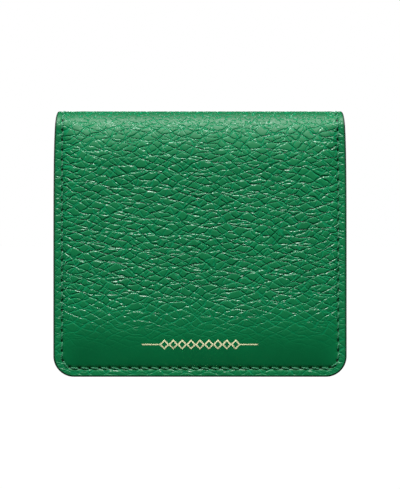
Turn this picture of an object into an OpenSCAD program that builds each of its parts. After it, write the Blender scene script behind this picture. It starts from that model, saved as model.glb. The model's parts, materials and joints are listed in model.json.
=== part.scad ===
// Fold-over card holder: two padded leather halves joined by a soft fold along the top.
// It stands closed on its lower edges. The back half is at +Y and the flap at -Y,
// X runs across the width, and the origin is under the middle of the lower edges.

/* [Overall] */
// Width of the closed holder
width = 99; // [80:0.5:125]
// Height of the closed holder, from the lower edge to the top of the fold
height = 90; // [84:0.5:120]
// Radius of the four outer corners
corner_r = 7; // [4:0.5:14]
// Space between the two closed halves
centre_gap = 2; // [1.6:0.1:6]

/* [Leather] */
// Thickness of the outer leather
cover_t = 1.1; // [0.8:0.05:1.8]
// Thickness of the lining
lining_t = 0.5; // [0.3:0.05:1]
// Thickness of the divider that carries the card pockets
divider_t = 0.5; // [0.3:0.05:1]
// Thickness of a card pocket's leather
pocket_t = 0.6; // [0.4:0.05:1]
// Thickness of the padding under the outer leather
pad_t = 1.5; // [0.6:0.1:3]

/* [Cards] */
// Height of a card lying on its long side
card_h = 54; // [40:0.5:60]
// Thickness of a card
card_t = 0.76; // [0.3:0.02:1.2]
// Play between a card and its pocket
card_play = 0.09; // [0.04:0.01:0.5]

/* [Pockets] */
// How much of a card shows above its pocket's mouth
card_reveal = 10; // [6:0.5:14]
// How much higher the upper pocket is than the lower one
pocket_step = 16; // [10:0.5:19.5]
// Height of the full-width band at the top of the upper pocket
band_h = 20; // [18:0.5:26]
// How far the divider's free edge stands above the upper pocket's mouth
divider_rise = 12.5; // [4:0.5:16]
// Width of the filler strips sewn into the edges
filler_w = 5.2; // [4.4:0.1:8]
// Play between neighbouring filler strips, and beside the narrow part of the upper pocket
cut_play = 0.2; // [0.1:0.05:0.5]

/* [Seam] */
// Distance from an outer edge to the stitch line
stitch_margin = 2.9; // [2:0.1:4]
// Thickness of the thread
thread_d = 0.6; // [0.4:0.05:0.9]
// Width of the groove that the outer thread lies in
groove_w = 0.8; // [0.7:0.05:1.2]
// Depth of that groove
groove_depth = 0.35; // [0.2:0.05:0.6]
// Thickness of the thread that holds the upper pocket's foot
foot_thread_d = 0.3; // [0.2:0.05:0.4]

/* [Padding] */
// Distance from an outer edge to the foot of the padding's shoulder
pad_margin = 4.4; // [3.6:0.1:8]
// Width of the shoulder at the sides and at the lower edge
pad_shoulder = 4; // [2:0.5:8]
// Width of the shoulder towards the fold
pad_fold_shoulder = 11; // [6:0.5:16]
// Distance from the padding's upper end to the start of the fold
pad_fold_gap = 2; // [1:0.5:8]
// Play between the padding and the leather round it
pad_play = 0.05; // [0.02:0.01:0.2]

/* [Ornament] */
// Number of open lozenges in the stamped border
lozenge_count = 9; // [3:2:15]
// Width of one lozenge
lozenge_w = 3; // [2:0.1:4]
// Height of one lozenge
lozenge_h = 3.4; // [2:0.1:5]
// Width of the foil lines
foil_line = 0.4; // [0.3:0.05:0.8]
// Length of the rule at each end of the border
rule_l = 6; // [2:0.5:12]
// Height of the border's middle above the lower edge
ornament_z = 11; // [10.5:0.5:30]
// Thickness of the foil
foil_t = 0.1; // [0.05:0.01:0.2]
// Depth that the stamp presses into the leather
stamp_depth = 0.15; // [0.1:0.01:0.3]

/* [Hidden] */

$fn = 64;
// Facets of the padding's rounded corners
pad_corner_facets = 32;

// Colours
leather_green = [0.11, 0.45, 0.28];
lining_green = [0.10, 0.36, 0.23];
thread_green = [0.09, 0.30, 0.18];
foam_grey = [0.80, 0.80, 0.76];
foil_gold = [0.90, 0.82, 0.55];

// Layers of one half, as distances from the middle plane: the lower pocket lies innermost.
slot_gap = card_t + card_play;
lower_in = centre_gap / 2;
lower_out = lower_in + pocket_t;
upper_in = lower_out + slot_gap;
upper_out = upper_in + pocket_t;
divider_in = upper_out + slot_gap;
divider_out = divider_in + divider_t;
lining_out = divider_out + lining_t;
fold_r = lining_out + cover_t;
crown_y = fold_r + pad_t;

// Heights
fold_z = height - fold_r;
lower_stop_z = filler_w;
upper_stop_z = lower_stop_z + pocket_step;
lower_mouth_z = lower_stop_z + card_h - card_reveal;
upper_mouth_z = upper_stop_z + card_h - card_reveal;
band_z = upper_mouth_z - band_h;
divider_z = upper_mouth_z + divider_rise;
foot_z = upper_stop_z - filler_w;

// The upper pocket's narrow part passes between the side fillers.
skirt_w = width - 2 * (filler_w + cut_play);

// The fold bends at two creases on its outer face, halfway up each side of its arc.
crease_a = 45;
// Length of thread left out each side of a crease, so that the ends stay apart as it opens
crease_play = 0.45;
thread_a = crease_play / fold_r * 180 / PI;
side_seam_x = width / 2 - stitch_margin;
seam_corner_r = corner_r - stitch_margin;
thread_r = thread_d / 2;
outer_thread_y = fold_r - groove_depth + thread_r;
// Cuts run this far past the faces that they open.
past = 1;

// A sheet standing in the XZ plane, from distance y0 to distance y1 behind the middle plane.
module sheet(y0, y1) {
    translate([0, y1, 0])
        rotate([90, 0, 0])
            linear_extrude(y1 - y0)
                children();
}

// Outline of a half with its lower corners rounded, inset all round and cut off at height top.
module half_outline(inset, top) {
    r = corner_r - inset;
    half_w = width / 2 - inset;
    translate([-half_w, corner_r])
        square([2 * half_w, top - corner_r]);
    translate([-half_w + r, inset])
        square([2 * (half_w - r), corner_r]);
    for (side = [-1, 1])
        translate([side * (half_w - r), corner_r])
            circle(r);
}

// Part of a half between two heights.
module strip_outline(z0, z1) {
    intersection() {
        half_outline(0, height);
        translate([-width, z0])
            square([2 * width, z1 - z0]);
    }
}

// Arc of the fold between two radii and two angles, where 0 is the back and 180 the flap.
module fold_arc(r0, r1, a0, a1) {
    translate([-width / 2, 0, fold_z])
        rotate([0, 90, 0])
            rotate([0, 0, a0 + 90])
                rotate_extrude(angle = a1 - a0)
                    translate([r0, 0])
                        square([r1 - r0, width]);
}

// Round thread along the fold at distance x from the middle.
module fold_cord(x, r, a0, a1) {
    translate([x, 0, fold_z])
        rotate([0, 90, 0])
            rotate([0, 0, a0 + 90])
                rotate_extrude(angle = a1 - a0)
                    translate([r, 0])
                        circle(thread_r);
}

// Groove along both sides of the fold.
module fold_grooves(a0, a1) {
    for (side = [-1, 1])
        translate([side * side_seam_x - groove_w / 2, 0, fold_z])
            rotate([0, 90, 0])
                rotate([0, 0, a0 + 90])
                    rotate_extrude(angle = a1 - a0)
                        translate([fold_r - groove_depth, 0])
                            square([groove_depth + past, groove_w]);
}

// Thread up one side of a half, between two heights.
module side_cord(side, y, z0, z1) {
    translate([side * side_seam_x, y, z0])
        cylinder(h = z1 - z0, r = thread_r);
}

// Thread along the lower edge and round both corners, up to where the sides start.
module lower_cord(y) {
    translate([-side_seam_x + seam_corner_r, y, stitch_margin])
        rotate([0, 90, 0])
            cylinder(h = 2 * (side_seam_x - seam_corner_r), r = thread_r);
    for (side = [0, 1])
        mirror([side, 0, 0])
            translate([side_seam_x - seam_corner_r, y, corner_r])
                rotate([90, 0, 0])
                    rotate([0, 0, -90])
                        rotate_extrude(angle = 90)
                            translate([seam_corner_r, 0])
                                circle(thread_r);
}

// A rounded rectangle given by its half width, its ends and its corner radius.
module pad_outline(half_w, z0, z1, r) {
    hull()
        for (x = [-half_w + r, half_w - r], z = [z0 + r, z1 - r])
            translate([x, z])
                circle(r, $fn = pad_corner_facets);
}

// Outline of the crown at a given share of the way from its foot to its top.
module crown_outline(share, play) {
    side = pad_margin + share * pad_shoulder + play;
    top_z = fold_z - pad_fold_gap - share * pad_fold_shoulder - play;
    pad_outline(width / 2 - side, side, top_z, corner_r - stitch_margin);
}

// Crowned block over the padding: wide at distance y, narrower at distance y + depth.
// With some play it shrinks inwards all round, along its slanted sides as well.
module crown(y, depth, play) {
    layer = 0.01;
    hull() {
        sheet(y + play, y + play + layer)
            crown_outline((play + layer) / depth, play);
        sheet(y + depth - play - layer, y + depth - play)
            crown_outline(1 - play / depth, play);
    }
}

module cover_half() {
    difference() {
        union() {
            sheet(lining_out, fold_r)
                half_outline(0, fold_z);
            fold_arc(lining_out, fold_r, 0, crease_a);
            crown(fold_r, pad_t, 0);
        }
        crown(lining_out, pad_t, 0);
        sheet(fold_r - groove_depth, fold_r + past)
            difference() {
                half_outline(stitch_margin - groove_w / 2, fold_z);
                half_outline(stitch_margin + groove_w / 2, fold_z + past);
            }
        fold_grooves(0, crease_a);
    }
}

module padding_half() {
    crown(lining_out, pad_t, pad_play);
}

module lining_half() {
    sheet(divider_out, lining_out)
        half_outline(0, fold_z);
    fold_arc(divider_out, lining_out, 0, crease_a);
}

module divider_half() {
    sheet(divider_in, divider_out)
        half_outline(0, divider_z);
}

module upper_pocket_half() {
    difference() {
        sheet(upper_in, upper_out)
            union() {
                strip_outline(band_z, upper_mouth_z);
                translate([-skirt_w / 2, foot_z])
                    square([skirt_w, band_z - foot_z]);
            }
        translate([-width / 2, upper_in - past, (foot_z + upper_stop_z - foot_thread_d) / 2])
            cube([width, past + foot_thread_d, foot_thread_d]);
    }
}

module lower_pocket_half() {
    sheet(lower_in, lower_out)
        half_outline(0, lower_mouth_z);
}

module fillers_half() {
    side_x = width / 2 - filler_w;
    // Strip under the lower pocket's foot, the full depth of both card slots
    sheet(lower_out, divider_in)
        strip_outline(0, filler_w);
    for (side = [0, 1])
        mirror([side, 0, 0]) {
            // Beside the narrow part of the upper pocket, the same depth
            sheet(lower_out, divider_in)
                intersection() {
                    strip_outline(filler_w + cut_play, band_z - cut_play);
                    translate([side_x, 0])
                        square([filler_w, height]);
                }
            // In front of the upper pocket's band
            sheet(lower_out, upper_in)
                translate([side_x, band_z])
                    square([filler_w, lower_mouth_z - band_z]);
            // Behind that band
            sheet(upper_out, divider_in)
                translate([side_x, band_z])
                    square([filler_w, band_h]);
        }
    // Strip behind the upper pocket's foot, which stops the upper card
    sheet(upper_out, divider_in)
        translate([-skirt_w / 2, foot_z])
            square([skirt_w, upper_stop_z - foot_z]);
}

module seam_thread_half() {
    lower_cord(outer_thread_y);
    for (side = [-1, 1]) {
        side_cord(side, outer_thread_y, corner_r, fold_z);
        fold_cord(side * side_seam_x, outer_thread_y, 0, crease_a - thread_a);
    }
}

module bobbin_thread_half() {
    lower_cord(lower_in - thread_r);
    for (side = [-1, 1]) {
        side_cord(side, lower_in - thread_r, corner_r, lower_mouth_z);
        side_cord(side, upper_in - thread_r, lower_mouth_z, upper_mouth_z);
        side_cord(side, divider_in - thread_r, upper_mouth_z, divider_z);
        side_cord(side, divider_out - thread_r, divider_z, fold_z);
    }
}

module foot_thread_half() {
    translate([-skirt_w / 2, upper_in + foot_thread_d / 2, (foot_z + upper_stop_z) / 2])
        rotate([0, 90, 0])
            cylinder(h = skirt_w, r = foot_thread_d / 2);
}

module in_flap() {
    mirror([0, 1, 0])
        children();
}

module lozenge(w, h) {
    polygon([[w / 2, 0], [0, h / 2], [-w / 2, 0], [0, -h / 2]]);
}

// Row of open lozenges with a rule at each end.
module ornament_outline() {
    row_w = lozenge_count * lozenge_w;
    // The inner lozenge keeps the line's width across its slanted sides.
    inner = 1 - 2 * foil_line * sqrt(1 / pow(lozenge_w, 2) + 1 / pow(lozenge_h, 2));
    translate([0, ornament_z]) {
        for (i = [0 : lozenge_count - 1])
            translate([(i + 0.5) * lozenge_w - row_w / 2, 0])
                difference() {
                    lozenge(lozenge_w + foil_line, lozenge_h);
                    lozenge(lozenge_w * inner, lozenge_h * inner);
                }
        for (side = [-1, 1])
            translate([side * (row_w + rule_l) / 2, 0])
                square([rule_l, foil_line], center = true);
    }
}

module flap_cover() {
    color(leather_green)
        difference() {
            in_flap()
                cover_half();
            in_flap()
                sheet(crown_y - stamp_depth, crown_y + past)
                    ornament_outline();
        }
}

module foil_ornament() {
    color(foil_gold)
        in_flap()
            sheet(crown_y - stamp_depth, crown_y - stamp_depth + foil_t)
                ornament_outline();
}

module fold_cover() {
    color(leather_green)
        difference() {
            fold_arc(lining_out, fold_r, crease_a, 180 - crease_a);
            fold_grooves(crease_a, 180 - crease_a);
        }
}

module fold_lining() {
    color(lining_green)
        fold_arc(divider_out, lining_out, crease_a, 180 - crease_a);
}

module fold_thread() {
    color(thread_green)
        for (side = [-1, 1])
            fold_cord(side * side_seam_x, outer_thread_y, crease_a + thread_a, 180 - crease_a - thread_a);
}

module back_cover() {
    color(leather_green)
        cover_half();
}

module back_padding() {
    color(foam_grey)
        padding_half();
}

module back_lining() {
    color(lining_green)
        lining_half();
}

module back_divider() {
    color(lining_green)
        divider_half();
}

module back_upper_pocket() {
    color(leather_green)
        upper_pocket_half();
}

module back_lower_pocket() {
    color(leather_green)
        lower_pocket_half();
}

module back_fillers() {
    color(lining_green)
        fillers_half();
}

module back_seam_thread() {
    color(thread_green)
        seam_thread_half();
}

module back_bobbin_thread() {
    color(thread_green)
        bobbin_thread_half();
}

module back_foot_thread() {
    color(thread_green)
        foot_thread_half();
}

module flap_padding() {
    color(foam_grey)
        in_flap()
            padding_half();
}

module flap_lining() {
    color(lining_green)
        in_flap()
            lining_half();
}

module flap_divider() {
    color(lining_green)
        in_flap()
            divider_half();
}

module flap_upper_pocket() {
    color(leather_green)
        in_flap()
            upper_pocket_half();
}

module flap_lower_pocket() {
    color(leather_green)
        in_flap()
            lower_pocket_half();
}

module flap_fillers() {
    color(lining_green)
        in_flap()
            fillers_half();
}

module flap_seam_thread() {
    color(thread_green)
        in_flap()
            seam_thread_half();
}

module flap_bobbin_thread() {
    color(thread_green)
        in_flap()
            bobbin_thread_half();
}

module flap_foot_thread() {
    color(thread_green)
        in_flap()
            foot_thread_half();
}

back_cover();
back_padding();
back_lining();
back_divider();
back_upper_pocket();
back_lower_pocket();
back_fillers();
back_seam_thread();
back_bobbin_thread();
back_foot_thread();
fold_cover();
fold_lining();
fold_thread();
flap_cover();
flap_padding();
flap_lining();
flap_divider();
flap_upper_pocket();
flap_lower_pocket();
flap_fillers();
flap_seam_thread();
flap_bobbin_thread();
flap_foot_thread();
foil_ornament();
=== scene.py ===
"""Looks of the fold-over card holder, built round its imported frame. Lengths are in metres.

A spot on a half is given by x, across the width, and v, the way along the leather from the lower
edge up to the top of the fold. The back half is at +Y and the flap at -Y.
"""
import json
import math

import bmesh
import bpy
import numpy as np
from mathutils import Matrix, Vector


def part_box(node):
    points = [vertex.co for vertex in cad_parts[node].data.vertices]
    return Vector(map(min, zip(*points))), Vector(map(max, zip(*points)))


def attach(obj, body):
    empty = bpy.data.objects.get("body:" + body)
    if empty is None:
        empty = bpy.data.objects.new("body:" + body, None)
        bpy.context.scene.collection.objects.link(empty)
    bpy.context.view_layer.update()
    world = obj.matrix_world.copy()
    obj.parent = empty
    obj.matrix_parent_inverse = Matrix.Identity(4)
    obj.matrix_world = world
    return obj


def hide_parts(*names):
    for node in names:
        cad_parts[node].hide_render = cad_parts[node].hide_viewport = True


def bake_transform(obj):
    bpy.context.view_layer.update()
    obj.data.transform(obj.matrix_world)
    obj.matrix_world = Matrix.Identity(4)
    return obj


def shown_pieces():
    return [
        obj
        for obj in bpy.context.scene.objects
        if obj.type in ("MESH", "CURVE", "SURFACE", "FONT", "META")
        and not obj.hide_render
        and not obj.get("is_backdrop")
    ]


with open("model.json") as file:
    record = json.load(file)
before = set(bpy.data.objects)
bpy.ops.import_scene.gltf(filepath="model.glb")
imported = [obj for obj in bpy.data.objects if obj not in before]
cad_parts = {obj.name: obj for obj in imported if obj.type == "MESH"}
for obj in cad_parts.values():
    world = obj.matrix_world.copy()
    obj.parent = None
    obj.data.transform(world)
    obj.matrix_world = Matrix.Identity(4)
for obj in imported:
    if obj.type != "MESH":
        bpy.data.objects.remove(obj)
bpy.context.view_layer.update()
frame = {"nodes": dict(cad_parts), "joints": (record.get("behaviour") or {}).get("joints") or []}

MM = 0.001
SIDES = {"back": 1, "flap": -1}

# ---- Sizes taken from the frame -------------------------------------------------------------
crease = next(j for j in frame["joints"] if j["name"] == "back_crease")["pos_m"]
FOLD_R = crease[1] * math.sqrt(2)
FOLD_Z = crease[2] - crease[1]
TOP_Z = FOLD_Z + FOLD_R
HALF_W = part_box("back_cover")[1].x
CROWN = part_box("back_cover")[1].y - FOLD_R
LINING_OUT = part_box("back_lining")[1].y
DIVIDER_IN, DIVIDER_OUT = (corner.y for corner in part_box("back_divider"))
UPPER_IN, UPPER_OUT = (corner.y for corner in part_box("back_upper_pocket"))
LOWER_IN, LOWER_OUT = (corner.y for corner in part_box("back_lower_pocket"))
DIVIDER_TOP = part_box("back_divider")[1].z
FOOT_Z, UPPER_MOUTH = (corner.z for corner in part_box("back_upper_pocket"))
LOWER_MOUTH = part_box("back_lower_pocket")[1].z
SKIRT_HALF_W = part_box("back_foot_thread")[1].x
THREAD_R = (LOWER_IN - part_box("back_bobbin_thread")[0].y) / 2
SEAM_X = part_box("back_seam_thread")[1].x - THREAD_R
MARGIN = HALF_W - SEAM_X
FOIL_LOW, FOIL_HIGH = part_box("foil_ornament")

# ---- Sizes that the finish adds -------------------------------------------------------------
# Cover
CORNER_R = 7 * MM
FOLD_ARC = FOLD_R * math.pi / 2
HALF_LENGTH = FOLD_Z + FOLD_ARC
TAPER = 1.35 * MM               # how far each side draws in at the top of the fold
TAPER_REACH = 9 * MM
SEAM_TAPER = 0.4                # share of the taper that the seam follows
EDGE_ROUND = 0.5 * MM           # rounding of the cover's painted edge
PILLOW_SIDE = 8 * MM            # width of the padding's shoulders
PILLOW_FOOT = 13 * MM
PILLOW_TOP = 13 * MM            # how far below the fold the padded face's curve ends
GRID = 0.37 * MM                # spacing of the cover's mesh
COVER_NEAR = np.array([0, 0.12, 0.28, 0.5, 0.8]) * MM   # its columns beside a cut edge
COVER_INNER = 1.1 * MM          # its even columns start this far from the edge
HIDDEN_STEP = 8                 # its hidden face keeps one column in this many
COVER_PAINT = (0.62 * MM, 0.38 * MM)    # distances from the edge where paint starts and is whole

# Seam and stitches
SEAM_DIP = 0.22 * MM            # how far the seam pulls the leather in
SEAM_DIP_W = 0.7 * MM
SEAM_STEP = 0.05 * MM           # spacing of the points of the seam's route
STITCH_PITCH = 3.38 * MM
STITCH_SHARE = 0.74             # share of the pitch that the visible stitch covers
HOLE_LONG = 0.66 * MM           # the needle's slots lie along the seam
HOLE_WIDE = 0.36 * MM
HOLE_DEPTH = 0.35 * MM
HOLE_AHEAD = 0.1 * MM           # a slot's direction is read between spots this far to each side
STITCH_AHEAD = 0.3 * MM         # and an outer stitch's between these
PLY_TURNS = 1.3                 # turns of a ply along one stitch
PLY_OFFSET = 0.46               # share of the thread's radius
PLY_R = 0.62
PLY_POINTS = 8
PLY_SIDES = 5
STITCH_ARCH = 0.34 * MM
BOBBIN_ARCH = 0.20 * MM
STITCH_SINK = 0.22 * MM         # how far a stitch's ends go down into its holes
STITCH_SEAT = 0.06 * MM         # how far a stitch's middle line stands off the face
STITCH_SLANT = math.radians(11)
STITCH_SWAY = 0.06              # most that a stitch turns from the slant, in radians
STITCH_SEED = 7

# Inner panels and padding
PANEL_STEP = 4 * MM             # spacing of a panel's mesh
PANEL_NEAR = np.array([0, 0.08, 0.2, 0.45]) * MM    # its columns beside a cut edge
PANEL_INNER = 1 * MM            # its even columns start this far from the edge
PANEL_CORNER_ROWS = 16
PANEL_ROUND = 0.45              # share of its thickness that each face rounds off at an edge
PANEL_PAINT = (0.42 * MM, 0.2 * MM)
SHEET_PAINT = (0.4 * MM, 0.2 * MM)      # the same for the lining and the upper pocket
MOUTH_FROM = 3.2 * MM           # even rows end this far below a mouth
MOUTH_ROWS = 3 * MM             # and fine rows start here
MOUTH_STEP = 0.15 * MM
CREASE_LINE = 2.0 * MM          # distance of the creased line below a mouth
CREASE_LINE_DEPTH = 0.12 * MM
CREASE_LINE_W = 0.25 * MM
BAND_Z = UPPER_MOUTH - 20 * MM  # where the upper pocket widens
BAND_STEP = 0.01 * MM           # height of the rows' gap there
SAME_SPOT = 0.001 * MM          # points nearer together than this are merged
FOLD_STEP = 0.5 * MM            # spacing of the lining's rows over the fold
PAD_EDGE = 4.6 * MM
PAD_STEP = 1.5 * MM
PAD_TOP_GAP = 2 * MM            # how far below the fold the foam ends
PAD_PLAY = 0.08 * MM            # room between the foam and the cover
PAD_LEAST = 0.1 * MM

# Foil ornament
LOZENGES = 9
FOIL_LINE = 0.4 * MM
RULE_L = 6 * MM
FOIL_TOP = 0.03 * MM            # how far the foil stands over the leather
FOIL_SUNK = 0.12 * MM
FOIL_STEPS = 6                  # pieces that each straight line is cut into, to follow the face

# Grain
# Families of creases: angle in degrees, spacing, wave, place in the noise, depth
GRAIN = ((23, 2.6 * MM, 1.3 * MM, 0.013, 1.0), (-25, 2.7 * MM, 1.3 * MM, 0.171, 1.0),
         (4, 5.2 * MM, 1.4 * MM, 0.337, 0.7), (50, 4.1 * MM, 1.2 * MM, 0.523, 0.5),
         (-53, 4.3 * MM, 1.2 * MM, 0.719, 0.5))
GRAIN_WAVES = ((11 * MM, 1.0), (3.4 * MM, 0.30), (1.3 * MM, 0.10))  # size and share of each
GRAIN_PATCH = 2.6 * MM          # size of the patches of stronger and weaker creases
GRAIN_DEPTH = 0.06 * MM         # depth of the creases in the mesh
MESH_CREASE = 0.8 * MM          # width of a crease's sides in the mesh
SEEN_CREASE = 0.37 * MM         # and in the material
CARVED_DEPTH = 0.22 * MM        # depth of the creases in the material
PORE = 0.22 * MM
PORE_DEPTH = 0.02 * MM
SMOOTH_UNTIL = 6 * MM           # the grain has been pressed flat below this height
GRAIN_FROM = 32 * MM            # and is whole above this one
GRAIN_EDGE = (0.4 * MM, 1.3 * MM)       # distances from an edge where grain starts and is whole
MARGIN_EDGE = (0.5 * MM, 1 * MM)        # the same for the grain in the seam's margin
MARGIN_BLUR = 0.4 * MM
MARGIN_GRAIN = 0.45             # strength of the grain in the margin
PRESSED_IN = 1.5 * MM           # how far inside the seam the pressed strip is wholly smoothed and darkened by painted shade
PEBBLE = 1.9 * MM               # size of the small round pebbles over the fold
PEBBLE_WANDER = 1.5 * MM        # size of the noise that shifts them
PEBBLE_REACH = 2.4 * MM         # and how far it reaches
PEBBLE_PATCH = 1.7 * MM         # size of the patches of deeper and shallower ones
PEBBLES_TO = 5 * MM             # they are whole this near to the top of the fold
PEBBLES_END = 11 * MM
FOLD_SHADE_TO = 2 * MM             # painted shade darkens the leather this near to the top of the fold
FOLD_SHADE_END = 8 * MM

# Camera and lights
FRAME_HEIGHT = 164.5 * MM       # what the frame's tall side spans at the flap
CAMERA_DROP = 0.35 * MM         # how far below the holder's middle the camera looks
FLOOR_SIZE = 60
WORLD_LIGHT = 0.015
KEY_SIZE = 0.42
KEY_POWER = 10.2
KEY_PLACE = (0, -0.578, 0.966)
CARD_SIZE = 0.7
CARD_POWER = 11
CARD_PLACE = (0, -1.6, 0.2)
# These stand behind the front face's plane, and light only the sides and the back
SIDE_SIZE = 0.9
SIDE_LIGHTS = (("left", 14, (-1.3, 0.35, 0.5)), ("right", 14, (1.3, 0.35, 0.5)),
               ("back", 7, (0, 1.5, 0.45)))


def smoothstep(low, high, value):
    t = np.clip((value - low) / (high - low), 0, 1)
    return t * t * (3 - 2 * t)


def ease_out(value):
    return 1 - (1 - np.clip(value, 0, 1)) ** 2


# ---- Camera and lights ----------------------------------------------------------------------
def make_camera():
    data = bpy.data.cameras.new("camera")
    data.lens = 135
    data.sensor_width = 36
    camera = bpy.data.objects.new("camera", data)
    bpy.context.scene.collection.objects.link(camera)
    distance = data.lens / data.sensor_width * FRAME_HEIGHT
    camera.location = (0, -(FOLD_R + CROWN) - distance, TOP_Z / 2 - CAMERA_DROP)
    camera.rotation_euler = (math.radians(90), 0, 0)
    data.clip_start = 0.01
    data.clip_end = 100
    bpy.context.scene.camera = camera


def make_light(name, size, power, place, receivers):
    """A round soft light aimed at the holder's middle, which lights only the given collection."""
    data = bpy.data.lights.new(name, "AREA")
    data.shape = "DISK"
    data.size = size
    data.energy = power
    light = bpy.data.objects.new(name, data)
    light.location = place
    aim = Vector((0, 0, TOP_Z / 2))
    light.rotation_euler = (light.location - aim).to_track_quat("Z", "Y").to_euler()
    bpy.context.scene.collection.objects.link(light)
    light.light_linking.receiver_collection = receivers


# ---- Node helpers ---------------------------------------------------------------------------
def node(tree, kind, settings=(), **inputs):
    """A new node with its settings, and its inputs set or linked. i0, i1 ... name inputs by number."""
    made = tree.nodes.new(kind)
    for name, value in dict(settings).items():
        setattr(made, name, value)
    for name, value in inputs.items():
        key = int(name[1:]) if name[0] == "i" and name[1:].isdigit() else name.replace("_", " ")
        socket = made.inputs[key]
        if isinstance(value, bpy.types.NodeSocket):
            tree.links.new(value, socket)
        else:
            socket.default_value = value
    return made


def math_node(tree, operation, *values):
    return node(tree, "ShaderNodeMath", {"operation": operation},
                **{f"i{i}": v for i, v in enumerate(values)}).outputs[0]


def vector_math(tree, operation, *values):
    made = node(tree, "ShaderNodeVectorMath", {"operation": operation},
                **{f"i{i}": v for i, v in enumerate(values)})
    return made.outputs["Value" if operation == "DOT_PRODUCT" else "Vector"]


def ramp(tree, value, low, high, to_low=0.0, to_high=1.0, smooth=True):
    kind = "SMOOTHSTEP" if smooth else "LINEAR"
    return node(tree, "ShaderNodeMapRange", {"interpolation_type": kind, "clamp": True},
                Value=value, From_Min=low, From_Max=high, To_Min=to_low, To_Max=to_high).outputs[0]


def noise(tree, spot, scale, detail=2.0, output=0):
    return node(tree, "ShaderNodeTexNoise", {"noise_dimensions": "3D"},
                Vector=spot, Scale=scale, Detail=detail, Roughness=0.5).outputs[output]


def centred_noise(tree, spot, size, reach):
    """Noise with features of about a given size, from -reach to +reach."""
    return ramp(tree, noise(tree, spot, 1 / size, 1.0), 0.25, 0.75, -reach, reach, False)


def seen_white(tree, lighting, seen):
    """A strength for the stage: one where the camera looks at it directly, another where it lights."""
    direct = node(tree, "ShaderNodeLightPath").outputs["Is Camera Ray"]
    return node(tree, "ShaderNodeMapRange", Value=direct, To_Min=lighting, To_Max=seen).outputs[0]


def crease_family(tree, spot, angle, spacing, wave, seed):
    """Roughly parallel wavy creases: the distance to the nearest one, and how strong it is there."""
    across = (math.sin(angle) / spacing, math.cos(angle) / spacing, 0)
    own = vector_math(tree, "ADD", spot, (seed, 0.7 * seed, 0.3 * seed))
    line = vector_math(tree, "DOT_PRODUCT", spot, across)
    for size, share in GRAIN_WAVES:
        line = math_node(tree, "ADD", line, centred_noise(tree, own, size, wave * share / spacing))
    away = math_node(tree, "MULTIPLY", math_node(tree, "PINGPONG", line, 0.5), spacing)
    strength = ramp(tree, noise(tree, own, 1 / GRAIN_PATCH, 1.0), 0.32, 0.52, 0.5, 1.0)
    return away, strength


def from_fold_top(tree, spot):
    """Distance along the leather from the top of the fold."""
    along = node(tree, "ShaderNodeSeparateXYZ", Vector=spot).outputs["Y"]
    return math_node(tree, "ABSOLUTE", math_node(tree, "SUBTRACT", along, HALF_LENGTH))


def creases(tree, spot, width):
    """How deep a spot lies in the grain's creases, whose sides are the given width: 0 to 1."""
    deepest = 0.0
    for angle, spacing, wave, seed, share in GRAIN:
        away, strength = crease_family(tree, spot, math.radians(angle), spacing, wave, seed)
        depth = math_node(tree, "MULTIPLY", ramp(tree, away, 0.0, width, share, 0.0), strength)
        deepest = math_node(tree, "MAXIMUM", deepest, depth)
    # Over the fold the grain is stretched into small round pebbles
    stray = noise(tree, spot, 1 / PEBBLE_WANDER, 2.0, 1)
    wander = vector_math(tree, "MULTIPLY", stray, (PEBBLE_REACH, PEBBLE_REACH, 0))
    cells = node(tree, "ShaderNodeTexVoronoi",
                 {"voronoi_dimensions": "2D", "feature": "DISTANCE_TO_EDGE"},
                 Vector=vector_math(tree, "ADD", spot, wander), Scale=1 / PEBBLE)
    away = math_node(tree, "MULTIPLY", cells.outputs["Distance"], PEBBLE)
    patches = ramp(tree, noise(tree, spot, 1 / PEBBLE_PATCH, 1.0), 0.40, 0.62, 0.15, 0.9)
    round_depth = math_node(tree, "MULTIPLY", ramp(tree, away, 0.0, width, 1.0, 0.0), patches)
    over_fold = ramp(tree, from_fold_top(tree, spot), PEBBLES_TO, PEBBLES_END, 1.0, 0.0)
    return math_node(tree, "ADD", math_node(tree, "MULTIPLY", round_depth, over_fold),
                     math_node(tree, "MULTIPLY", deepest, math_node(tree, "SUBTRACT", 1.0, over_fold)))


# ---- The leather's surface ------------------------------------------------------------------
def taper(v):
    return TAPER * np.exp((v - HALF_LENGTH) / TAPER_REACH)


def outline_half_width(v):
    """Half the holder's width at v, with the lower corners rounded and the sides drawn in above."""
    below = np.clip(CORNER_R - v, 0, CORNER_R)
    return HALF_W - CORNER_R + np.sqrt(CORNER_R ** 2 - below ** 2) - taper(v)


def edge_distance(x, v):
    """Distance to the nearest cut edge: the sides and the lower edge, not the fold."""
    across = np.abs(x) + taper(v)
    plain = np.minimum(HALF_W - across, v)
    over, under = across - (HALF_W - CORNER_R), CORNER_R - v
    corner = CORNER_R - np.hypot(np.maximum(over, 0), np.maximum(under, 0))
    return np.where((over > 0) & (under > 0), corner, plain)


def from_seam(x, v):
    """Distance inwards from the seam, negative in the margin outside it."""
    return edge_distance(x, v) + (1 - SEAM_TAPER) * taper(v) - MARGIN


def seam_route():
    """Points (x, v) at even steps along the seam, from the fold down the left side and round."""
    r = CORNER_R - MARGIN
    down = np.arange(HALF_LENGTH, CORNER_R, -SEAM_STEP)
    left = np.column_stack([-(SEAM_X - SEAM_TAPER * taper(down)), down])
    turn = np.arange(0, math.pi / 2, SEAM_STEP / r)
    corner = np.column_stack([-(SEAM_X - r) - r * np.cos(turn), CORNER_R - r * np.sin(turn)])
    foot = np.arange(-(SEAM_X - r), 0, SEAM_STEP)
    half_foot = np.column_stack([foot, np.full_like(foot, MARGIN)])
    half = np.vstack([left, corner, half_foot])
    return np.vstack([half, half[::-1] * (-1, 1)])


SEAM = seam_route()
SEAM_AT = np.concatenate([[0], np.cumsum(np.hypot(*np.diff(SEAM, axis=0).T))])
STITCHES = round(SEAM_AT[-1] / STITCH_PITCH)


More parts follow.
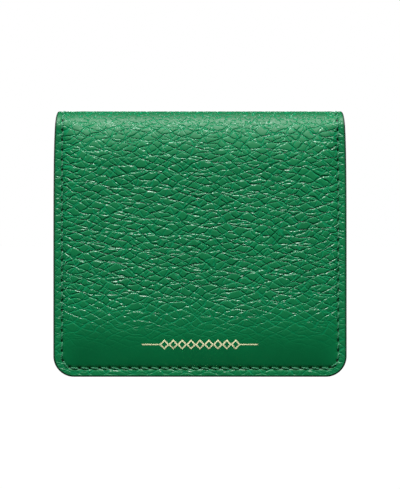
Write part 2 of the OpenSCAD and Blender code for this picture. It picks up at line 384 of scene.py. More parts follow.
def along_seam(at):
    """The spots (x, v) at distances along the seam."""
    return np.column_stack([np.interp(at, SEAM_AT, c) for c in SEAM.T])


HOLE_AT = np.arange(1, STITCHES) * SEAM_AT[-1] / STITCHES
HOLES = along_seam(HOLE_AT)
HOLE_WAYS = along_seam(HOLE_AT + HOLE_AHEAD) - along_seam(HOLE_AT - HOLE_AHEAD)
HOLE_WAYS /= np.hypot(*HOLE_WAYS.T)[:, None]


def hole_depth(x, v):
    """How deep each spot lies in a needle hole, from 0 to 1."""
    depth = np.zeros(np.shape(x))
    for (hx, hv), (wx, wv) in zip(HOLES, HOLE_WAYS):
        along = (x - hx) * wx + (v - hv) * wv
        across = (v - hv) * wx - (x - hx) * wv
        depth = np.maximum(depth, np.exp(-(along / HOLE_LONG) ** 2 - (across / HOLE_WIDE) ** 2))
    return depth


def padded_profile(v):
    """How far outside the plain fold and face the padded middle runs, on one ellipse."""
    wide, tall = FOLD_R + CROWN, FOLD_R + PILLOW_TOP
    turn = np.clip((v - FOLD_Z) / FOLD_R, 0, math.pi / 2)
    low = np.clip(PILLOW_TOP - (FOLD_Z - v), 0, PILLOW_TOP)
    below = wide * np.sqrt(1 - (low / tall) ** 2)
    a = (np.cos(turn) / wide) ** 2 + (np.sin(turn) / tall) ** 2
    b = 2 * PILLOW_TOP * np.sin(turn) / tall ** 2
    c = (PILLOW_TOP / tall) ** 2 - 1
    above = (-b + np.sqrt(b * b - 4 * a * c)) / (2 * a)
    return np.where(v > FOLD_Z, above, below) - FOLD_R


def pillow(x, v):
    """How far the padding lifts the leather off the lining, and the fold pulls both of them in."""
    side = SEAM_X - np.abs(x) - SEAM_TAPER * taper(v)
    return padded_profile(v) * ease_out(side / PILLOW_SIDE) * ease_out((v - MARGIN) / PILLOW_FOOT)


def edge_rounding(edge, radius):
    lost = np.clip(radius - edge, 0, radius)
    return radius - np.sqrt(radius ** 2 - lost ** 2)


def relief(x, v):
    """How far the padding, the seam and the rounded edge move the cover's face outwards."""
    dip = SEAM_DIP * np.exp(-(from_seam(x, v) / SEAM_DIP_W) ** 2)
    return pillow(x, v) - dip - edge_rounding(edge_distance(x, v), EDGE_ROUND)


def on_half(side, x, v, r):
    """The place of a spot that lies r from the middle plane, or r from the fold's axis above it."""
    turn = np.clip((v - FOLD_Z) / FOLD_R, 0, math.pi / 2)
    y = r * np.cos(turn)
    z = np.minimum(v, FOLD_Z) + r * np.sin(turn)
    return np.stack(np.broadcast_arrays(x, side * y, z), axis=-1)


def outwards(side, v):
    turn = np.clip((v - FOLD_Z) / FOLD_R, 0, math.pi / 2)
    return np.stack([np.zeros_like(turn), side * np.cos(turn), np.sin(turn)], axis=-1)


# ---- Meshes ---------------------------------------------------------------------------------
def new_piece(name, points, faces, material, smooth=True):
    mesh = bpy.data.meshes.new(name)
    mesh.from_pydata(np.asarray(points).tolist(), [], faces)
    mesh.materials.append(material)
    if smooth:
        mesh.shade_smooth()
    else:
        mesh.shade_flat()
    piece = bpy.data.objects.new(name, mesh)
    bpy.context.scene.collection.objects.link(piece)
    return piece


def add_attribute(piece, name, values):
    made = piece.data.attributes.new(name, "FLOAT", "POINT")
    made.data.foreach_set("value", np.asarray(values, np.float32).ravel())


def wall(edge_out, edge_in, flip):
    """The faces between two matching edges of a sheet."""
    quads = np.stack([edge_out[:-1], edge_out[1:], edge_in[1:], edge_in[:-1]], -1)
    return (quads[:, ::-1] if flip else quads).tolist()


def shell(name, side, x, v, outer, inner, material, inside_step=1):
    """A closed sheet over the grid of spots x, v, between two distances from the middle plane.

    The inner face keeps only every inside_step-th column, which is enough for a hidden one.
    """
    rows, columns = x.shape
    outer_points = on_half(side, x, v, outer)
    keep = sorted({*range(0, columns, inside_step), columns - 1})
    inner_points = on_half(side, x[:, keep], v[:, keep], np.broadcast_to(inner, x.shape)[:, keep])
    points = np.vstack([outer_points.reshape(-1, 3), inner_points.reshape(-1, 3)])
    first, width = rows * columns, len(keep)
    out = np.arange(first).reshape(rows, columns)
    inn = first + np.arange(rows * width).reshape(rows, width)
    quads = np.stack([out[:-1, :-1], out[:-1, 1:], out[1:, 1:], out[1:, :-1]], -1)
    faces = quads.reshape(-1, 4).tolist()
    back = np.stack([inn[:-1, :-1], inn[1:, :-1], inn[1:, 1:], inn[:-1, 1:]], -1)
    faces += back.reshape(-1, 4).tolist()
    faces += wall(out[:, 0], inn[:, 0], False) + wall(out[:, -1], inn[:, -1], True)
    for edge_out, edge_in, flip in ((out[0], inn[0], True), (out[-1], inn[-1], False)):
        if inside_step > 1:
            loop = edge_out.tolist() + edge_in.tolist()[::-1]
            faces.append(loop[::-1] if flip else loop)
        else:
            faces += wall(edge_out, edge_in, flip)
    # The grid runs left to right and upwards, which faces -Y: the flap's way out
    if side > 0:
        faces = [face[::-1] for face in faces]
    piece = new_piece(name, points, faces, material)
    uv = np.vstack([np.column_stack([x.ravel(), v.ravel()]),
                    np.column_stack([x[:, keep].ravel(), v[:, keep].ravel()])])
    # The back's leather carries on from the flap's beyond the fold
    if side > 0:
        uv[:, 1] = 2 * HALF_LENGTH - uv[:, 1]
    layer = piece.data.uv_layers.new(name="leather")
    corners = np.zeros(len(piece.data.loops), np.int32)
    piece.data.loops.foreach_get("vertex_index", corners)
    layer.data.foreach_set("uv", uv[corners].astype(np.float32).ravel())
    return piece, first


def cover_grid():
    """The spots of a cover's mesh, closer together along its cut edges and round its corners."""
    inner = HALF_W - COVER_INNER
    middle = np.linspace(-inner, inner, round(2 * HALF_W / GRID))
    columns = np.concatenate([COVER_NEAR - HALF_W, middle, (HALF_W - COVER_NEAR)[::-1]])
    turn = np.linspace(0, math.pi / 2, round(CORNER_R * math.pi / 2 / GRID))
    corner = CORNER_R * (1 - np.cos(turn))
    rest = np.linspace(CORNER_R, HALF_LENGTH, round((HALF_LENGTH - CORNER_R) / GRID))[1:]
    v = np.repeat(np.concatenate([corner, rest])[:, None], len(columns), 1)
    return columns[None, :] / HALF_W * outline_half_width(v), v


# ---- Materials ------------------------------------------------------------------------------
def new_material(name):
    material = bpy.data.materials.new(name)
    material.use_nodes = True
    tree = material.node_tree
    return material, tree, tree.nodes["Principled BSDF"]


def mix_colour(tree, share, first, second):
    made = node(tree, "ShaderNodeMix", {"data_type": "RGBA"}, i0=share)
    for number, value in ((6, first), (7, second)):
        if isinstance(value, bpy.types.NodeSocket):
            tree.links.new(value, made.inputs[number])
        else:
            made.inputs[number].default_value = (*value, 1)
    return made.outputs[2]


def attribute(tree, name):
    return node(tree, "ShaderNodeAttribute", {"attribute_name": name}).outputs["Fac"]


def bump(tree, height, distance, strength=1.0, normal=None):
    made = node(tree, "ShaderNodeBump", Height=height, Distance=distance, Strength=strength)
    if normal is not None:
        tree.links.new(normal, made.inputs["Normal"])
    return made.outputs[0]


LEATHER = (0.0006, 0.32, 0.100)
# Dark green painted in as shade: in the creases and the inner leather's cracks, over the top of the
# fold and towards the lower edge
SHADE_GREEN = (0.0004, 0.14, 0.043)
# Light green painted in as a highlight on the sides of the creases
LIP_HIGHLIGHT = (0.014, 0.52, 0.21)
PAINT = (0.0015, 0.012, 0.005)


def pebbled_leather():
    """Full-grain cover leather: pebbles on the grain's own spots, fine pores, and painted edges."""
    material, tree, shader = new_material("pebbled_leather")
    spot = node(tree, "ShaderNodeUVMap", {"uv_map": "leather"}).outputs[0]
    low = math_node(tree, "MULTIPLY", creases(tree, spot, SEEN_CREASE), attribute(tree, "grain_amount"))
    tone = noise(tree, spot, 1 / (14 * MM), 3.0)
    body = mix_colour(tree, ramp(tree, tone, 0.3, 0.7), LEATHER, tuple(c * 1.14 for c in LEATHER))
    pressed = attribute(tree, "pressed")
    # Painted shade: darker towards the lower edge, where the grain is pressed
    lower_shaded = mix_colour(tree, math_node(tree, "MULTIPLY", pressed, 0.26), body, SHADE_GREEN)
    # Painted shade: the leather is darkened towards the top of the fold
    fold_shade = ramp(tree, from_fold_top(tree, spot), FOLD_SHADE_TO, FOLD_SHADE_END, 0.6, 0.0)
    fold_shaded = mix_colour(tree, fold_shade, lower_shaded, SHADE_GREEN)
    # Painted highlight: the sides of the creases are lightened towards the highlight green
    wear_and_lip_highlight = mix_colour(tree, ramp(tree, low, 0.05, 0.45, 0.0, 0.7), fold_shaded, LIP_HIGHLIGHT)
    # Painted shade: the bottoms of the creases are darkened towards the shade green
    creased = mix_colour(tree, ramp(tree, low, 0.66, 1.0), wear_and_lip_highlight, SHADE_GREEN)
    # Painted shade: the needle holes are darkened to the edge paint's near-black
    hole_shaded = mix_colour(tree, ramp(tree, attribute(tree, "needle_hole"), 0.25, 0.7), creased, PAINT)
    painted = mix_colour(tree, attribute(tree, "edge_paint"), hole_shaded, PAINT)
    tree.links.new(painted, shader.inputs["Base Color"])
    rough = math_node(tree, "MULTIPLY_ADD", pressed, -0.10, ramp(tree, low, 0.0, 0.3, 0.50, 0.28))
    tree.links.new(rough, shader.inputs["Roughness"])
    shader.inputs["Specular IOR Level"].default_value = 0.6
    pores = noise(tree, spot, 1 / PORE, 2.0)
    soft = bump(tree, pores, PORE_DEPTH, 0.2)
    carved = math_node(tree, "MULTIPLY", low, -1.0)
    tree.links.new(bump(tree, carved, CARVED_DEPTH, 1.0, soft), shader.inputs["Normal"])
    return material


def smooth_leather(name, colour, rough):
    """Thin inner leather: fine short grain, and small changes of tone."""
    material, tree, shader = new_material(name)
    spot = node(tree, "ShaderNodeTexCoord").outputs["Object"]
    tone = noise(tree, spot, 1 / (11 * MM), 3.0)
    body = mix_colour(tree, ramp(tree, tone, 0.3, 0.7), tuple(0.86 * c for c in colour), colour)
    fine = node(tree, "ShaderNodeTexVoronoi", {"feature": "DISTANCE_TO_EDGE"},
                Vector=spot, Scale=1 / (1.1 * MM)).outputs["Distance"]
    cracks = ramp(tree, fine, 0.0, 0.16)
    dark = math_node(tree, "SUBTRACT", 1.0, cracks)
    # Painted shade: the fine cracks are darkened towards the shade green
    crack_shaded = mix_colour(tree, math_node(tree, "MULTIPLY", dark, 0.45), body, SHADE_GREEN)
    painted = mix_colour(tree, attribute(tree, "edge_paint"), crack_shaded, PAINT)
    tree.links.new(painted, shader.inputs["Base Color"])
    tree.links.new(bump(tree, cracks, 0.09 * MM, 0.9), shader.inputs["Normal"])
    shader.inputs["Roughness"].default_value = rough
    shader.inputs["Specular IOR Level"].default_value = 0.35
    return material


def painted_edge():
    """Burnished edge under dark paint, with the faint lines of the layers showing through."""
    material, tree, shader = new_material("painted_edge")
    spot = node(tree, "ShaderNodeTexCoord").outputs["Object"]
    streaks = vector_math(tree, "MULTIPLY", spot, (0.12, 1.0, 0.12))
    lines = noise(tree, streaks, 1 / (0.35 * MM), 2.0)
    tree.links.new(mix_colour(tree, lines, PAINT, tuple(2.2 * c for c in PAINT)),
                   shader.inputs["Base Color"])
    tree.links.new(bump(tree, lines, 0.04 * MM, 0.8), shader.inputs["Normal"])
    shader.inputs["Roughness"].default_value = 0.38
    return material


def waxed_thread():
    material, tree, shader = new_material("waxed_thread")
    spot = node(tree, "ShaderNodeTexCoord").outputs["Object"]
    fibres = noise(tree, spot, 1 / (0.12 * MM), 2.0)
    tree.links.new(mix_colour(tree, fibres, (0.02, 0.30, 0.13), (0.16, 0.62, 0.36)),
                   shader.inputs["Base Color"])
    tree.links.new(bump(tree, fibres, 0.03 * MM, 0.8), shader.inputs["Normal"])
    shader.inputs["Roughness"].default_value = 0.36
    return material


def stamped_foil():
    material, tree, shader = new_material("stamped_foil")
    spot = node(tree, "ShaderNodeTexCoord").outputs["Object"]
    wear_and_lip_highlight = noise(tree, spot, 1 / (0.5 * MM), 3.0)
    tree.links.new(mix_colour(tree, wear_and_lip_highlight, (0.78, 0.76, 0.42), (0.90, 0.90, 0.58)),
                   shader.inputs["Base Color"])
    tree.links.new(ramp(tree, wear_and_lip_highlight, 0.2, 0.8, 0.30, 0.48), shader.inputs["Roughness"])
    tree.links.new(bump(tree, wear_and_lip_highlight, 0.01 * MM, 0.6), shader.inputs["Normal"])
    shader.inputs["Metallic"].default_value = 0.8
    return material


def open_foam():
    material, tree, shader = new_material("open_foam")
    spot = node(tree, "ShaderNodeTexCoord").outputs["Object"]
    cells = node(tree, "ShaderNodeTexVoronoi", Vector=spot, Scale=1 / (0.5 * MM)).outputs["Distance"]
    tree.links.new(mix_colour(tree, cells, (0.74, 0.74, 0.68), (0.52, 0.52, 0.47)),
                   shader.inputs["Base Color"])
    tree.links.new(bump(tree, cells, 0.15 * MM, 1.0), shader.inputs["Normal"])
    shader.inputs["Roughness"].default_value = 0.95
    return material


def pale_floor():
    material, tree, shader = new_material("pale_floor")
    shader.inputs["Base Color"].default_value = (0.86, 0.86, 0.86, 1)
    shader.inputs["Roughness"].default_value = 0.9
    shader.inputs["Specular IOR Level"].default_value = 0.1
    shader.inputs["Emission Color"].default_value = (1, 1, 1, 1)
    tree.links.new(seen_white(tree, 0.0, 1.0), shader.inputs["Emission Strength"])
    return material


COVER_LEATHER = pebbled_leather()
LINING_LEATHER = smooth_leather("lining_leather", (0.004, 0.20, 0.066), 0.6)
POCKET_LEATHER = smooth_leather("pocket_leather", (0.003, 0.26, 0.083), 0.55)
EDGE = painted_edge()
THREAD = waxed_thread()
FOIL = stamped_foil()
FOAM = open_foam()


# ---- Covers ---------------------------------------------------------------------------------
def add_sockets(tree, floats, whole=()):
    """A geometry input and output for a node tree, with its named sizes between them."""
    sockets = [("Geometry", "Geometry", "INPUT")]
    sockets += [(name, "Float", "INPUT") for name in floats]
    sockets += [(name, "Int", "INPUT") for name in whole]
    for name, kind, way in sockets + [("Geometry", "Geometry", "OUTPUT")]:
        tree.interface.new_socket(name, in_out=way, socket_type=f"NodeSocket{kind}")


def press_grain(piece):
    """Moves the cover's face along its normals by the grain, with the same pattern as the material."""
    tree = bpy.data.node_groups.new("press_grain", "GeometryNodeTree")
    add_sockets(tree, ("Depth",))
    source = tree.nodes.new("NodeGroupInput")
    spot = node(tree, "GeometryNodeInputNamedAttribute", {"data_type": "FLOAT_VECTOR"},
                Name="leather").outputs["Attribute"]
    amount = node(tree, "GeometryNodeInputNamedAttribute", {"data_type": "FLOAT"},
                  Name="grain_amount").outputs["Attribute"]
    low = math_node(tree, "MULTIPLY", creases(tree, spot, MESH_CREASE), amount)
    sunk = math_node(tree, "MULTIPLY", low, -1.0)
    offset = node(tree, "ShaderNodeVectorMath", {"operation": "SCALE"},
                  i0=node(tree, "GeometryNodeInputNormal").outputs[0],
                  Scale=math_node(tree, "MULTIPLY", sunk, source.outputs["Depth"])).outputs[0]
    moved = node(tree, "GeometryNodeSetPosition", Geometry=source.outputs["Geometry"], Offset=offset)
    finished = node(tree, "GeometryNodeSetMaterial", Geometry=moved.outputs[0])
    finished.inputs["Material"].default_value = COVER_LEATHER
    tree.links.new(finished.outputs[0], tree.nodes.new("NodeGroupOutput").inputs[0])
    set_by_nodes(piece, tree, Depth=GRAIN_DEPTH)


def set_by_nodes(piece, tree, **sizes):
    """Runs a node tree on a piece, with its named sizes, and keeps the result as a plain mesh."""
    modifier = piece.modifiers.new(tree.name, "NODES")
    modifier.node_group = tree
    for socket in tree.interface.items_tree:
        if socket.in_out == "INPUT" and socket.name in sizes:
            modifier[socket.identifier] = sizes[socket.name]
    evaluated = piece.evaluated_get(bpy.context.evaluated_depsgraph_get())
    made = bpy.data.meshes.new_from_object(evaluated)
    piece.modifiers.remove(modifier)
    old, piece.data = piece.data, made
    bpy.data.meshes.remove(old)


def bend_over_fold(piece, half):
    """Bakes the piece's placement into its mesh, the same way for either half."""
    if half == "back":
        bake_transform(piece)
    else:
        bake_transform(piece)


def make_cover(half):
    x, v = cover_grid()
    edge = edge_distance(x, v)
    holes = hole_depth(x, v)
    outer = FOLD_R + relief(x, v) - HOLE_DEPTH * holes
    piece, face = shell(f"{half}_cover_leather", SIDES[half], x, v, outer, LINING_OUT + pillow(x, v),
                        COVER_LEATHER, HIDDEN_STEP)
    amount = smoothstep(*GRAIN_EDGE, edge) * smoothstep(SMOOTH_UNTIL, GRAIN_FROM, v)
    margin = smoothstep(MARGIN_BLUR, -MARGIN_BLUR, from_seam(x, v)) * smoothstep(*MARGIN_EDGE, edge)
    amount = np.maximum(amount * (1 - 0.4 * margin), MARGIN_GRAIN * margin)
    amount *= 1 - 0.15 * smoothstep(FOLD_Z - 2 * MM, FOLD_Z + 4 * MM, v)
    hidden = np.zeros(len(piece.data.vertices) - face)
    add_attribute(piece, "grain_amount", np.concatenate([amount.ravel(), hidden]))
    add_attribute(piece, "needle_hole", np.concatenate([holes.ravel(), hidden]))
    # The pressed strip near the lower edge: smoother, and darkened by painted shade
    pressed = smoothstep(GRAIN_FROM, SMOOTH_UNTIL, v) * smoothstep(0, PRESSED_IN, from_seam(x, v))
    add_attribute(piece, "pressed", np.concatenate([pressed.ravel(), hidden]))
    paint = smoothstep(*COVER_PAINT, edge)
    add_attribute(piece, "edge_paint", np.concatenate([paint.ravel(), hidden + 1]))
    press_grain(piece)
    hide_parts(f"{half}_cover", *(["fold_cover"] if half == "flap" else []))
    bend_over_fold(piece, half)


# ---- Padding, lining, divider and pockets ---------------------------------------------------
def even(low, high, step):
    return np.linspace(low, high, max(2, round((high - low) / step) + 1))


def mouth_rows(top):
    """The heights of the fine rows up to a mouth."""
    return top - even(0, MOUTH_ROWS, MOUTH_STEP)[::-1]


def mouth_line(below):
    """How far the line creased in below a mouth pushes the inner face out."""
    return CREASE_LINE_DEPTH * np.exp(-((below - CREASE_LINE) / CREASE_LINE_W) ** 2)


def panel_grid(top):
    """The spots of a thin inner panel up to a given height, closer together along its edges."""
    inner = HALF_W - PANEL_INNER
    columns = np.concatenate([PANEL_NEAR - HALF_W, even(-inner, inner, PANEL_STEP),
                              (HALF_W - PANEL_NEAR)[::-1]])
    turn = np.linspace(0, math.pi / 2, PANEL_CORNER_ROWS)
    corner = CORNER_R * (1 - np.cos(turn))
    middle = even(CORNER_R, top - MOUTH_FROM, PANEL_STEP)[1:]
    rows = np.concatenate([corner, middle, mouth_rows(top)])
    v = np.repeat(rows[:, None], len(columns), 1)
    return columns[None, :] / HALF_W * outline_half_width(v), v


def make_panel(half, name, inner, outer, top, replaced, material):
    """A divider or a pocket: rounded painted edges, and a line creased in below its mouth."""
    x, v = panel_grid(top)
    edge = np.minimum(edge_distance(x, v), top - v)
    rounding = edge_rounding(edge, PANEL_ROUND * (outer - inner))
    piece, _ = shell(f"{half}_{name}", SIDES[half], x, v, outer - rounding,
                     inner + rounding + mouth_line(top - v), material)
    paint = smoothstep(*PANEL_PAINT, edge)
    add_attribute(piece, "edge_paint", np.tile(paint.ravel(), 2))
    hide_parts(*replaced)
    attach(piece, half)
    return piece


def make_upper_pocket(half):
    """The upper pocket's full-width band with its narrower part below it, down to its foot."""
    near = HALF_W - PANEL_NEAR
    middle = even(-SKIRT_HALF_W, SKIRT_HALF_W, PANEL_STEP)
    columns = np.concatenate([-near, middle, near[::-1]])
    rows = np.concatenate([even(FOOT_Z, BAND_Z - BAND_STEP, PANEL_STEP),
                           even(BAND_Z, UPPER_MOUTH - MOUTH_FROM, PANEL_STEP),
                           mouth_rows(UPPER_MOUTH)])
    x, v = np.meshgrid(columns, rows)
    narrow = v < BAND_Z
    x = np.where(narrow, np.clip(x, -SKIRT_HALF_W, SKIRT_HALF_W), x)
    edge = UPPER_MOUTH - v
    side = np.where(narrow, MARGIN, HALF_W - np.abs(x))
    rounding = edge_rounding(edge, PANEL_ROUND * (UPPER_OUT - UPPER_IN))
    piece, _ = shell(f"{half}_upper_card_pocket", SIDES[half], x, v, UPPER_OUT - rounding,
                     UPPER_IN + rounding + mouth_line(edge), POCKET_LEATHER)
    paint = smoothstep(*SHEET_PAINT, np.minimum(edge, side))
    add_attribute(piece, "edge_paint", np.tile(paint.ravel(), 2))
    # The band's outer columns run together below it
    merged = bmesh.new()
    merged.from_mesh(piece.data)
    bmesh.ops.remove_doubles(merged, verts=merged.verts, dist=SAME_SPOT)
    merged.to_mesh(piece.data)
    merged.free()
    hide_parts(f"{half}_upper_pocket")
    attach(piece, half)
    return piece


def make_lining(half):
    """The lining over its half and up to the top of the fold, following the cover round the bend."""
    x, v = panel_grid(FOLD_Z)
    over = even(FOLD_Z, HALF_LENGTH, FOLD_STEP)[1:]
    more_v = np.repeat(over[:, None], x.shape[1], 1)
    more_x = x[-1] / outline_half_width(FOLD_Z) * outline_half_width(more_v)
    x, v = np.vstack([x, more_x]), np.vstack([v, more_v])
    edge = edge_distance(x, v)
    sunk = np.minimum(pillow(x, v), 0)
    rounding = edge_rounding(edge, PANEL_ROUND * (LINING_OUT - DIVIDER_OUT))
    piece, _ = shell(f"{half}_lining_leather", SIDES[half], x, v, LINING_OUT + sunk - rounding,
                     DIVIDER_OUT + sunk + rounding, LINING_LEATHER)
    paint = smoothstep(*SHEET_PAINT, edge)
    add_attribute(piece, "edge_paint", np.tile(paint.ravel(), 2))
    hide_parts(f"{half}_lining", *(["fold_lining"] if half == "flap" else []))
    bend_over_fold(piece, half)


def make_foam_pad(half):
    """The crowned foam pad that fills out the cover, with its shoulders running down to its edges."""
    side_x = HALF_W - PAD_EDGE
    x, v = np.meshgrid(even(-side_x, side_x, PAD_STEP),
                       even(PAD_EDGE, FOLD_Z - PAD_TOP_GAP, PAD_STEP))
    height = np.maximum(pillow(x, v) - PAD_PLAY, PAD_LEAST)
    piece, _ = shell(f"{half}_foam_pad", SIDES[half], x, v, LINING_OUT + height, LINING_OUT, FOAM)
    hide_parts(f"{half}_padding")
    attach(piece, half)


# ---- Stitches -------------------------------------------------------------------------------
def twisted_stitch(tree, source):
    """One stitch of two twisted plies, arched between its holes, along X, its outer side at +Z."""
    plies = []
    for phase in (0, math.pi):
        line = node(tree, "GeometryNodeCurvePrimitiveLine", Start=(-0.5, 0, 0), End=(0.5, 0, 0))
        line = node(tree, "GeometryNodeResampleCurve", Curve=line.outputs[0], Count=PLY_POINTS)
        share = node(tree, "GeometryNodeSplineParameter").outputs["Factor"]
        turn = math_node(tree, "MULTIPLY_ADD", share, 2 * math.pi * PLY_TURNS, float(phase))
        arch = math_node(tree, "SINE", math_node(tree, "MULTIPLY", share, math.pi))
        lift = math_node(tree, "MULTIPLY_ADD", arch, source.outputs["Arch"], -STITCH_SINK)
        offset = math_node(tree, "MULTIPLY", source.outputs["Radius"], PLY_OFFSET)
        across = math_node(tree, "MULTIPLY", math_node(tree, "COSINE", turn), offset)
        up = math_node(tree, "MULTIPLY_ADD", math_node(tree, "SINE", turn), offset, lift)
        centred = math_node(tree, "SUBTRACT", share, 0.5)
        along = math_node(tree, "MULTIPLY", centred, source.outputs["Length"])
        place = node(tree, "ShaderNodeCombineXYZ", X=along, Y=across, Z=up)
        shaped = node(tree, "GeometryNodeSetPosition", Geometry=line.outputs[0],
                      Position=place.outputs[0])
        ply = math_node(tree, "MULTIPLY", source.outputs["Radius"], PLY_R)
        ring = node(tree, "GeometryNodeCurvePrimitiveCircle", Resolution=PLY_SIDES, Radius=ply)
        plies.append(node(tree, "GeometryNodeCurveToMesh", i0=shaped.outputs[0], i1=ring.outputs[0],
                          Fill_Caps=True).outputs[0])
    joined = tree.nodes.new("GeometryNodeJoinGeometry")
    for ply in plies:
        tree.links.new(ply, joined.inputs[0])
    return node(tree, "GeometryNodeSetShadeSmooth", i0=joined.outputs[0]).outputs[0]


def stitch_tree():
    """Sets a slanted stitch on every point, turned by the point's own directions."""
    tree = bpy.data.node_groups.new("stitches", "GeometryNodeTree")
    add_sockets(tree, ("Length", "Radius", "Slant", "Arch"), ("Seed",))
    source = tree.nodes.new("NodeGroupInput")
    points = node(tree, "GeometryNodeMeshToPoints", i0=source.outputs["Geometry"])
    along, out = (node(tree, "GeometryNodeInputNamedAttribute", {"data_type": "FLOAT_VECTOR"},
                       Name=name).outputs["Attribute"] for name in ("along", "out"))
    turned = node(tree, "FunctionNodeAxesToRotation", {"primary_axis": "Z", "secondary_axis": "X"},
                  i0=out, i1=along)
    sway = node(tree, "FunctionNodeRandomValue", {"data_type": "FLOAT"}, i2=-STITCH_SWAY,
                i3=STITCH_SWAY, Seed=source.outputs["Seed"]).outputs[1]
    slant = node(tree, "ShaderNodeCombineXYZ", Z=math_node(tree, "ADD", sway, source.outputs["Slant"]))
    slanted = node(tree, "FunctionNodeRotateRotation", {"rotation_space": "LOCAL"},
                   i0=turned.outputs[0], i1=slant.outputs[0])
    placed = node(tree, "GeometryNodeInstanceOnPoints", Points=points.outputs[0],
                  Instance=twisted_stitch(tree, source), Rotation=slanted.outputs[0])
    real = node(tree, "GeometryNodeRealizeInstances", i0=placed.outputs[0])
    finished = node(tree, "GeometryNodeSetMaterial", Geometry=real.outputs[0])
    finished.inputs["Material"].default_value = THREAD
    tree.links.new(finished.outputs[0], tree.nodes.new("NodeGroupOutput").inputs[0])
    return tree


def layer_inside(v):
    """Distance from the middle plane to the innermost layer of a half at a height."""
    return np.select([v < LOWER_MOUTH, v < UPPER_MOUTH, v < DIVIDER_TOP],
                     [LOWER_IN, UPPER_IN, DIVIDER_IN], DIVIDER_OUT)


def make_stitches(half, name, outside, tree, slot, *replaced):
    """A row of stitches along the whole seam of a half, on its outer or its inner face."""
    side, facing = SIDES[half], 1 if outside else -1
    middle = (np.arange(STITCHES) + 0.5) * SEAM_AT[-1] / STITCHES

    def spot(at):
        x, v = (np.interp(at, SEAM_AT, c) for c in SEAM.T)
        r = FOLD_R + relief(x, v) if outside else layer_inside(v)
        return on_half(side, x, v, r), outwards(side, v) * facing

    places, out = spot(middle)
    ends = [spot(middle + step)[0] for step in (-STITCH_AHEAD, STITCH_AHEAD)]
    if not outside:
        # Inside, a stitch that meets a mouth slopes from one layer down to the next
        ends = [spot(middle + share * STITCH_PITCH)[0] for share in (-0.5, 0.5)]
        places = (ends[0] + ends[1]) / 2
    ahead = ends[1] - ends[0]
    piece = new_piece(name, places + out * STITCH_SEAT, [], THREAD, smooth=False)
    for label, values in (("along", ahead), ("out", out)):
        made = piece.data.attributes.new(label, "FLOAT_VECTOR", "POINT")
        made.data.foreach_set("vector", np.asarray(values, np.float32).ravel())
    set_by_nodes(piece, tree, Length=STITCH_PITCH * STITCH_SHARE, Radius=THREAD_R, Seed=STITCH_SEED,
                 Slant=STITCH_SLANT * side * facing, Arch=STITCH_ARCH if outside else BOBBIN_ARCH)
    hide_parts(*replaced)
    bend_over_fold(piece, half)


# ---- Foil ornament --------------------------------------------------------------------------
def foil_strip(points, faces, outer, inner, closed):
    """Adds a thin strip of foil lying on the flap's face between two lines of (x, v) spots."""
    first, count = len(points), len(outer)
    for lift in (FOIL_TOP, -FOIL_SUNK):
        for edge in (outer, inner):
            x, v = np.asarray(edge).T
            points.extend(on_half(-1, x, v, FOLD_R + relief(x, v) + lift))
    a, b, c, d = (first + i * count for i in range(4))
    rings = [(a + i, b + i, d + i, c + i) for i in range(count)]
    for near, far in zip(rings, rings[1:] + rings[:1] if closed else rings[1:]):
        faces.extend((near[k], far[k], far[(k + 1) % 4], near[(k + 1) % 4]) for k in range(4))
    if not closed:
        faces.extend((rings[0], rings[-1][::-1]))


def spots_between(corners, closed):
    """Even steps along the straight lines from corner to corner, and back to the first if closed."""
    corners = np.asarray(corners)
    ahead = np.roll(corners, -1, axis=0) if closed else corners[1:]
    share = np.arange(FOIL_STEPS)[:, None] / FOIL_STEPS
    spots = [near + share * (far - near) for near, far in zip(corners, ahead)]
    return np.vstack(spots if closed else spots + [corners[-1:]])


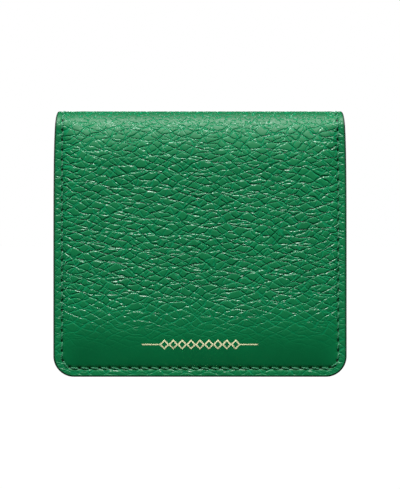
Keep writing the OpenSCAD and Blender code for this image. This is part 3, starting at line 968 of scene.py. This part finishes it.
def make_foil():
    """A row of open lozenges with a rule at each end, stamped in foil above the flap's lower edge."""
    middle = (FOIL_LOW.z + FOIL_HIGH.z) / 2
    row = 2 * FOIL_HIGH.x - 2 * RULE_L
    width, height = row / LOZENGES, FOIL_HIGH.z - FOIL_LOW.z
    inner = 1 - 2 * FOIL_LINE * math.sqrt(1 / width ** 2 + 1 / height ** 2)
    points, faces = [], []
    corners = np.array([(1, 0), (0, 1), (-1, 0), (0, -1)])
    for number in range(LOZENGES):
        centre = np.array([(number + 0.5) * width - row / 2, middle])
        outside = centre + corners * ((width + FOIL_LINE) / 2, height / 2)
        inside = centre + corners * inner * (width / 2, height / 2)
        foil_strip(points, faces, spots_between(outside, True), spots_between(inside, True), True)
    for side in (-1, 1):
        near, far = side * row / 2, side * (row / 2 + RULE_L)
        low, high = middle - FOIL_LINE / 2, middle + FOIL_LINE / 2
        edges = (spots_between([(near, v), (far, v)], False) for v in (low, high))
        foil_strip(points, faces, *edges, False)
    piece = new_piece("foil_border", points, faces, FOIL, smooth=False)
    made = bmesh.new()
    made.from_mesh(piece.data)
    bmesh.ops.recalc_face_normals(made, faces=made.faces)
    made.to_mesh(piece.data)
    made.free()
    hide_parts("foil_ornament")
    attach(piece, "flap")
    return piece


make_camera()
stitches = stitch_tree()
for half in SIDES:
    make_cover(half)
    make_foam_pad(half)
    make_lining(half)
    panels = [make_panel(half, "divider_panel", DIVIDER_IN, DIVIDER_OUT, DIVIDER_TOP,
                         [f"{half}_divider"], LINING_LEATHER),
              make_upper_pocket(half),
              make_panel(half, "lower_card_pocket", LOWER_IN, LOWER_OUT, LOWER_MOUTH,
                         [f"{half}_lower_pocket"], POCKET_LEATHER)]
    outer_nodes = [f"{half}_seam_thread"] + (["fold_thread"] if half == "flap" else [])
    make_stitches(half, f"{half}_seam_stitches", True, stitches, "thread", *outer_nodes)
    make_stitches(half, f"{half}_bobbin_stitches", False, stitches, "thread", f"{half}_bobbin_thread")
    for kept, material in (("fillers", EDGE), ("foot_thread", THREAD)):
        frame["nodes"][f"{half}_{kept}"].data.materials.clear()
        frame["nodes"][f"{half}_{kept}"].data.materials.append(material)
foil = make_foil()


# ---- Studio ---------------------------------------------------------------------------------
def make_studio():
    bpy.ops.mesh.primitive_plane_add(size=FLOOR_SIZE)
    floor = bpy.context.object
    floor.name = "floor"
    floor.data.materials.append(pale_floor())
    floor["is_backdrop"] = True
    holder = bpy.data.collections.new("holder")
    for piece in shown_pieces():
        holder.objects.link(piece)
    world = bpy.data.worlds.new("studio")
    bpy.context.scene.world = world
    world.use_nodes = True
    background = world.node_tree.nodes["Background"]
    background.inputs["Color"].default_value = (1, 1, 1, 1)
    strength = seen_white(world.node_tree, WORLD_LIGHT, 1.0)
    world.node_tree.links.new(strength, background.inputs["Strength"])
    make_light("key", KEY_SIZE, KEY_POWER, KEY_PLACE, holder)
    for name, power, place in SIDE_LIGHTS:
        make_light(name, SIDE_SIZE, power, place, holder)
    shiny = bpy.data.collections.new("shiny")
    shiny.objects.link(foil)
    make_light("front_card", CARD_SIZE, CARD_POWER, CARD_PLACE, shiny)
    bpy.context.scene.view_settings.view_transform = "Standard"


make_studio()
